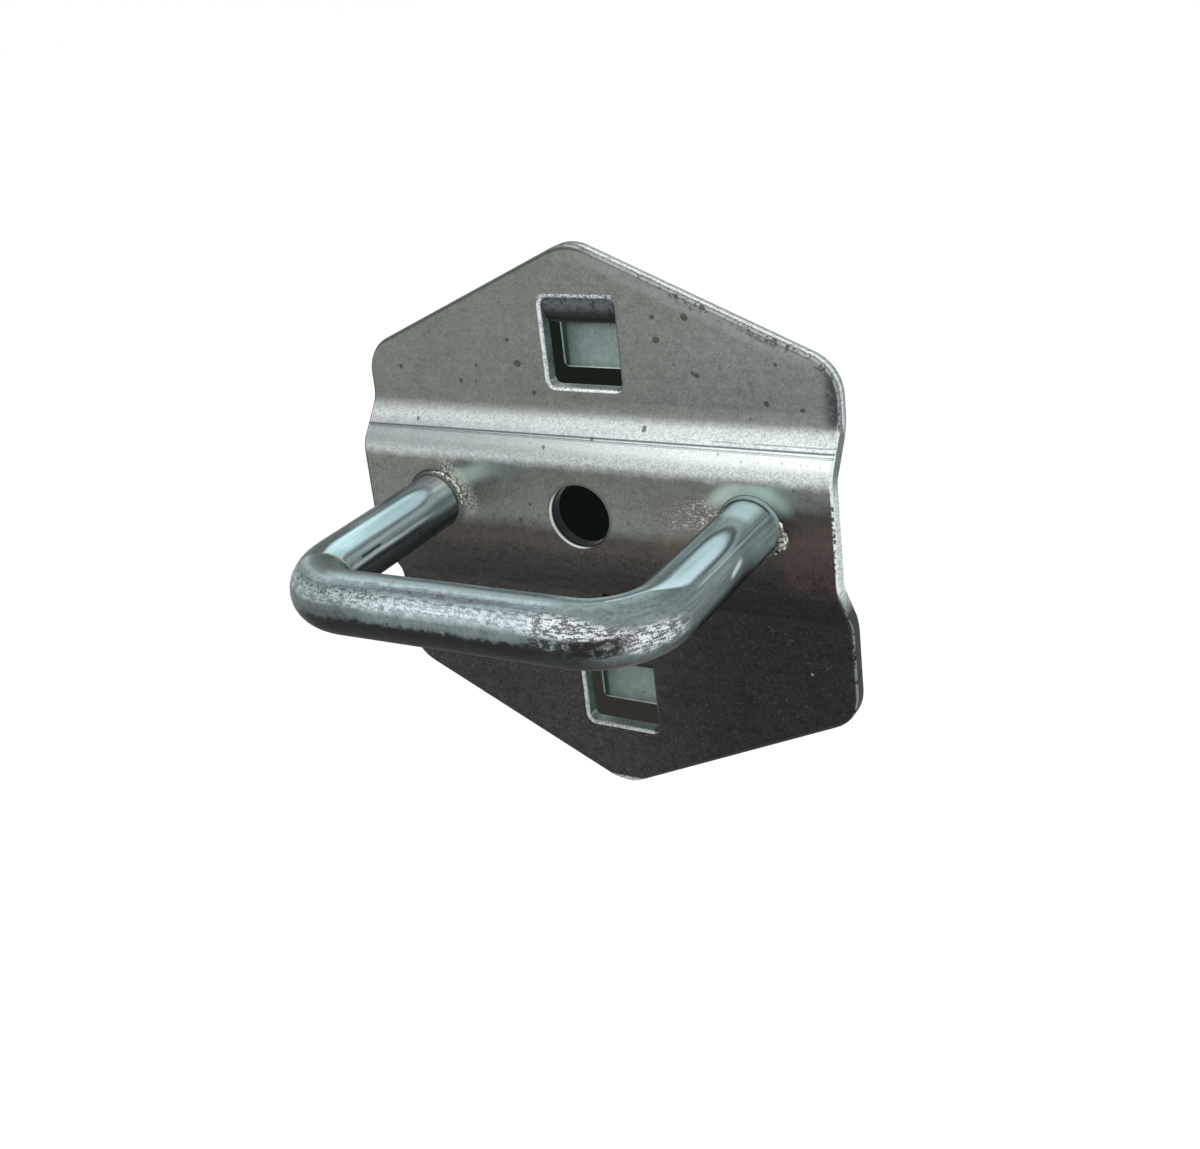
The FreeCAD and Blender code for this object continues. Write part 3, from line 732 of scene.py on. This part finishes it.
    # The scuffed front: white chatter marks over a painted highlight, thickest on the right bend, with
    # pits, dark brown patches low on the right bend, and the underside painted dark as shade.
    drawn = rod.grain(0.42, detail=3.0, roughness=0.7, place=rod.flat, stretch=(1.5, 0.55, 1))
    chatter = rod.rise(rod.add(drawn, rod.times(fine, 0.35), rod.times(mottle, 0.3)), -0.05, 0.07)
    brushed = rod.times(right_side, rod.band(run, 16.5, 24.0, 2.5), rod.band(turn, 30.0, 84.0, 14.0),
                        rod.flip(where_right))
    colour = rod.over(colour, ROD_SHADE, brushed, rod.rise(rod.add(drawn, mottle), 0.0, 0.2), 0.55)
    bar_zone = rod.times(rod.rise(run, 26.0, 29.0), rod.band(worn, 28.0, 48.0, 5.0), 0.55)
    rub_line = rod.between(rod.rise(run, 21.5, 26.5), 4.0, 36.0)
    bend_zone = rod.times(right_side, rod.rise(run, 17.6, 20.6), rod.rise(run, 32.0, 28.0),
                          rod.rise(rod.size(rod.less(worn, rub_line)), 26.0, 8.0))
    left_zone = rod.times(left_side, rod.band(run, 20.0, 28.0, 2.0), rod.band(worn, 30.0, 42.0, 10.0),
                          0.3)
    rubbed_and_highlit = rod.most(rod.times(bar_zone, 0.8), bend_zone, left_zone)
    scuff = rod.mix(chatter, SCUFF_DARK, SCUFF_AND_HIGHLIGHT_WHITE)
    colour = rod.over(colour, scuff, rubbed_and_highlit, 0.9)
    lilac = rod.times(rod.rise(run, 24.0, 28.0), rod.band(worn, 50.0, 66.0, 4.0),
                      rod.rise(rod.add(drawn, die_lines), 0.04, -0.1))
    colour = rod.over(colour, LILAC_GREY, lilac, 0.7)
    worn_pits = rod.pits(spacing=0.62, smallest=0.06, largest=0.2, kept=0.6)
    left_pits = rod.times(left_side, rod.band(run, 21.5, 32.0, 2.0), rod.band(worn, 43.0, 56.0, 5.0))
    colour = rod.over(colour, WORN_PIT, left_pits, rod.most(worn_pits, rod.rise(grit, 0.0, 0.1)), 0.8)
    spread = rod.times(rod.rise(run, 20.0, 23.0), rod.band(turn, -2.0, 62.0, 8.0))
    colour = rod.over(colour, BROWN_PIT, rod.pits(spacing=1.7, smallest=0.08, largest=0.26, kept=0.45),
                      spread, 0.55)
    colour = rod.over(colour, FINE_PIT, rod.pits(spacing=0.9, smallest=0.04, largest=0.12, kept=0.4),
                      rod.rise(turn, -30.0, -10.0), 0.4)
    low_brown = rod.times(right_side, rod.band(run, 23.4, 25.6, 1.2), rod.band(turn, -8.0, 14.0, 5.0),
                      rod.rise(mottle, -0.16, 0.02))
    colour = rod.over(colour, LOW_BROWN_PATCH, low_brown, 0.85)
    shaded_underside = rod.times(rod.rise(run, 22.5, 26.0),
                     rod.rise(rod.add(turn, rod.times(mottle, 26.0), rod.times(grit, 16.0)), 5.0, -6.0))
    colour = rod.over(colour, NEAR_BLACK, shaded_underside, 0.9)
    low_dark = rod.times(right_side, rod.band(run, 24.0, 28.5, 2.5),
                     rod.band(rod.add(turn, rod.times(cloud, 20.0)), -10.0, 14.0, 7.0),
                     rod.rise(rod.add(mottle, rod.times(drawn, 0.8)), -0.12, 0.02))
    colour = rod.over(colour, LOW_DARK_PATCH, low_dark, 0.9)
    # A darker green-grey on top of the left bend, part of the painted reflection round the section.
    green_top = rod.times(left_side, rod.band(run, 15.5, 24.5, 2.5), rod.band(turn, 82.0, 110.0, 14.0),
                          rod.flip(where_left))
    colour = rod.over(colour, GREEN_GREY, green_top, 0.75)

    # The seam where the leg's end was upset by the weld.
    seam = rod.times(rod.band(forward, 0.38, 0.56, 0.12), rod.most(rod.rise(turn, 20.0, 50.0), 0.3))
    colour = rod.over(colour, ROD_SEAM, seam, 0.85)
    foot = rod.times(rod.rise(forward, 0.4, 0.3), rod.rise(rod.add(grit, mottle), -0.2, 0.0))
    colour = rod.over(colour, rod.mix(right_side, SHEET_GREY, ROD_TEAL), foot, 0.8)

    rough = rod.add(0.30, rod.times(mottle, 0.15), rod.times(rubbed_and_highlit, 0.10), rod.times(shaded_underside, 0.35))
    ridge = rod.add(rod.times(die_lines, 0.4), rod.times(grit, rod.between(rubbed_and_highlit, 0.2, 1.0)),
                    rod.times(worn_pits, rod.times(rubbed_and_highlit, -0.4)))
    rod.surface.inputs["Specular IOR Level"].default_value = 0.2
    return rod.finish(colour, metal=rod.between(shaded_underside, 0.45, 0.1), roughness=rough,
                      normal=rod.bump(ridge, distance=0.04 * MM, strength=0.5))


rod_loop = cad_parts["rod_loop"]
rod_loop.data.materials.clear()
rod_loop.data.materials.append(zinc_rod())


# The weld flash is steel and zinc that the welding press squeezed out beside each leg. It froze in
# small rough lumps: a ridge over the left leg's inner side, and a bead with crumbs at the right leg.

FLASH_PLACE = (BAND_FRONT - 0.18) * MM
LUMP_FLATNESS = 0.7
LUMP_GRAIN = 2.6
LUMP_UNEVENNESS = 0.45

FLASH_DARK = paint(104, 106, 96)
FLASH_PALE = paint(224, 228, 214)


def frozen_metal():
    flash = Finish("frozen_metal")
    fine = flash.grain(0.12, detail=2.0)
    grit = flash.grain(0.35, detail=2.0, roughness=0.6)
    lumpy = flash.rise(flash.add(grit, flash.times(fine, 0.7)), -0.16, 0.12)
    colour = flash.mix(lumpy, FLASH_DARK, FLASH_PALE)
    return flash.finish(colour, metal=0.8, roughness=flash.add(0.32, flash.times(grit, 0.3)),
                        normal=flash.bump(grit, distance=0.06 * MM, strength=0.6))


flash_metal = frozen_metal()


def weld_flash(name, weld, lumps):
    """Lumps round a leg. Each has its angle round the rod, its distance from the axis, its length out
    from the rod and its width."""
    beads = bmesh.new()
    for turn, reach, long, wide in lumps:
        angle = math.radians(turn)
        middle = Vector(((weld[0] + reach * math.cos(angle)) * MM, FLASH_PLACE,
                         (weld[1] + reach * math.sin(angle)) * MM))
        place = Matrix.Translation(middle) @ Matrix.Rotation(-angle, 4, "Y")
        place = place @ Matrix.Diagonal((wide * MM, LUMP_FLATNESS * wide * MM, long * MM, 1.0))
        lump = bmesh.ops.create_icosphere(beads, subdivisions=3, radius=0.5, matrix=place)
        for vert in lump["verts"]:
            rough = noise.noise(vert.co / MM * LUMP_GRAIN)
            vert.co = middle + (vert.co - middle) * (1.0 + LUMP_UNEVENNESS * rough)
    bmesh.ops.recalc_face_normals(beads, faces=beads.faces)
    mesh = bpy.data.meshes.new(name)
    beads.to_mesh(mesh)
    beads.free()
    for face in mesh.polygons:
        face.use_smooth = True
    piece = bpy.data.objects.new(name, mesh)
    piece.data.materials.append(flash_metal)
    bpy.context.scene.collection.objects.link(piece)
    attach(piece, "root")


weld_flash("left_weld_flash", LEFT_WELD, [
    (80, 3.28, 1.0, 0.4), (66, 3.32, 1.0, 0.5), (52, 3.34, 1.0, 0.6), (38, 3.40, 0.9, 0.6),
    (26, 3.45, 0.8, 0.6), (44, 3.85, 0.6, 0.5), (14, 3.40, 0.6, 0.4), (2, 3.30, 0.4, 0.28)])
weld_flash("right_weld_flash", RIGHT_WELD, [
    (-16, 3.50, 1.5, 1.1), (-2, 3.36, 1.0, 0.8), (12, 3.32, 0.8, 0.5), (-30, 3.38, 0.6, 0.5),
    (-42, 3.40, 0.34, 0.34)])


# The floor is plain pale board, the backdrop plain white, and the light a soft studio light.
# Four small dark cards stand behind the holes, because the holes look dark in the photograph. They are
# backdrop only, and show to the camera from in front.
# The dark cards are painted shade: dark sheets standing where only shade shows through the holes.

FLOOR_BELOW = 60 * MM
FLOOR_RADIUS = 6.0
BACKDROP_RAYS = ("Is Camera Ray", "Is Glossy Ray", "Is Transmission Ray")


def light_path(tree, *names):
    """1 for the named kinds of ray, and 0 for the rest."""
    path = tree.nodes.new("ShaderNodeLightPath")
    result = path.outputs[names[0]]
    for name in names[1:]:
        node = tree.nodes.new("ShaderNodeMath")
        node.operation = "MAXIMUM"
        tree.links.new(result, node.inputs[0])
        tree.links.new(path.outputs[name], node.inputs[1])
        result = node.outputs[0]
    return result


def studio_world():
    world = bpy.data.worlds.new("studio")
    world.use_nodes = True
    tree = world.node_tree
    soft_light = tree.nodes["Background"]
    soft_light.inputs["Color"].default_value = (0.96, 0.98, 1.0, 1.0)
    soft_light.inputs["Strength"].default_value = 1.0
    white = tree.nodes.new("ShaderNodeBackground")
    white.inputs["Color"].default_value = (1.0, 1.0, 1.0, 1.0)
    white.inputs["Strength"].default_value = 1.0
    choice = tree.nodes.new("ShaderNodeMixShader")
    tree.links.new(light_path(tree, *BACKDROP_RAYS), choice.inputs[0])
    tree.links.new(soft_light.outputs[0], choice.inputs[1])
    tree.links.new(white.outputs[0], choice.inputs[2])
    tree.links.new(choice.outputs[0], tree.nodes["World Output"].inputs["Surface"])
    bpy.context.scene.world = world


def pale_board():
    material = bpy.data.materials.new("pale_board")
    material.use_nodes = True
    tree = material.node_tree
    board = tree.nodes["Principled BSDF"]
    board.inputs["Base Color"].default_value = (0.9, 0.9, 0.9, 1.0)
    board.inputs["Roughness"].default_value = 0.9
    white = tree.nodes.new("ShaderNodeEmission")
    white.inputs["Strength"].default_value = 1.06
    share = tree.nodes.new("ShaderNodeMath")
    share.operation = "MULTIPLY"
    tree.links.new(light_path(tree, *BACKDROP_RAYS), share.inputs[0])
    share.inputs[1].default_value = 0.8
    choice = tree.nodes.new("ShaderNodeMixShader")
    tree.links.new(share.outputs[0], choice.inputs[0])
    tree.links.new(board.outputs[0], choice.inputs[1])
    tree.links.new(white.outputs[0], choice.inputs[2])
    tree.links.new(choice.outputs[0], tree.nodes["Material Output"].inputs["Surface"])
    return material


def painted_shade_card(name, colour):
    """Shows its colour from in front, and nothing from behind or to the light."""
    material = bpy.data.materials.new(name)
    material.use_nodes = True
    tree = material.node_tree
    tree.nodes.remove(tree.nodes["Principled BSDF"])
    dark = tree.nodes.new("ShaderNodeEmission")
    dark.inputs["Color"].default_value = colour
    clear = tree.nodes.new("ShaderNodeBsdfTransparent")
    geometry = tree.nodes.new("ShaderNodeNewGeometry")
    front = tree.nodes.new("ShaderNodeMath")
    front.operation = "SUBTRACT"
    tree.links.new(light_path(tree, "Is Camera Ray"), front.inputs[0])
    tree.links.new(geometry.outputs["Backfacing"], front.inputs[1])
    choice = tree.nodes.new("ShaderNodeMixShader")
    tree.links.new(front.outputs[0], choice.inputs[0])
    tree.links.new(clear.outputs[0], choice.inputs[1])
    tree.links.new(dark.outputs[0], choice.inputs[2])
    tree.links.new(choice.outputs[0], tree.nodes["Material Output"].inputs["Surface"])
    return material


def staged(name, sheet, material):
    mesh = bpy.data.meshes.new(name)
    sheet.to_mesh(mesh)
    sheet.free()
    thing = bpy.data.objects.new(name, mesh)
    thing.data.materials.append(material)
    bpy.context.scene.collection.objects.link(thing)


def card(name, centre, depth, half_width, half_height, colour):
    """A card that faces forward, its centre at (x, z) and at the given depth, in millimetres."""
    sheet = bmesh.new()
    place = Matrix.Translation(Vector((centre[0], depth, centre[1])) * MM)
    upright = Matrix.Rotation(math.radians(90), 4, "X")
    size = Matrix.Diagonal((half_width * MM, half_height * MM, 1.0, 1.0))
    bmesh.ops.create_grid(sheet, x_segments=1, y_segments=1, size=1.0, matrix=place @ upright @ size)
    staged(name, sheet, painted_shade_card(name, colour))


board = bmesh.new()
bmesh.ops.create_circle(board, cap_ends=True, segments=96, radius=FLOOR_RADIUS)
bmesh.ops.translate(board, verts=board.verts, vec=(0, 0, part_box("back_plate")[0].z - FLOOR_BELOW))
staged("floor", board, pale_board())
card("screw_hole_card", centre=(-1.3, 1.4), depth=-2.7, half_width=3.9, half_height=3.8,
     colour=paint(12, 18, 16))
card("pin_hole_card", centre=(-1.5, -9.8), depth=0.4, half_width=1.9, half_height=1.9,
     colour=paint(20, 18, 18))
card("upper_opening_card", centre=(-2.6, 16.9), depth=3.7, half_width=5.3, half_height=4.2,
     colour=paint(26, 31, 26))
card("lower_opening_card", centre=(-2.5, -22.2), depth=3.7, half_width=5.4, half_height=4.8,
     colour=paint(50, 50, 45))
studio_world()


def soft_lamp(name, place, width, height, watts):
    lamp = bpy.data.lights.new(name, "AREA")
    lamp.shape = "RECTANGLE"
    lamp.size = width
    lamp.size_y = height
    lamp.energy = watts
    thing = bpy.data.objects.new(name, lamp)
    thing.location = place
    thing.rotation_euler = Vector(place).to_track_quat("Z", "Y").to_euler()
    bpy.context.scene.collection.objects.link(thing)


soft_lamp("key_lamp", (-0.20, -0.30, 0.42), width=0.30, height=0.20, watts=0.22)
soft_lamp("side_lamp", (0.45, -0.10, 0.25), width=0.10, height=0.30, watts=0.12)
soft_lamp("back_lamp", (0.05, 0.40, 0.30), width=0.40, height=0.12, watts=0.15)


# The camera stands close, to the upper right of the plate, a little above the rod loop.

camera_data = bpy.data.cameras.new("camera")
camera_data.sensor_width = 36.0
camera_data.sensor_fit = "HORIZONTAL"
camera_data.lens = 44.71
camera_data.shift_y = -0.1454
camera_data.clip_start = 0.005
camera = bpy.data.objects.new("camera", camera_data)
camera.location = (0.074943, -0.123357, 0.056782)
camera.rotation_euler = (1.2747, 0.1081, 0.5087)
bpy.context.scene.collection.objects.link(camera)
bpy.context.scene.camera = camera
bpy.context.scene.view_settings.view_transform = "Standard"
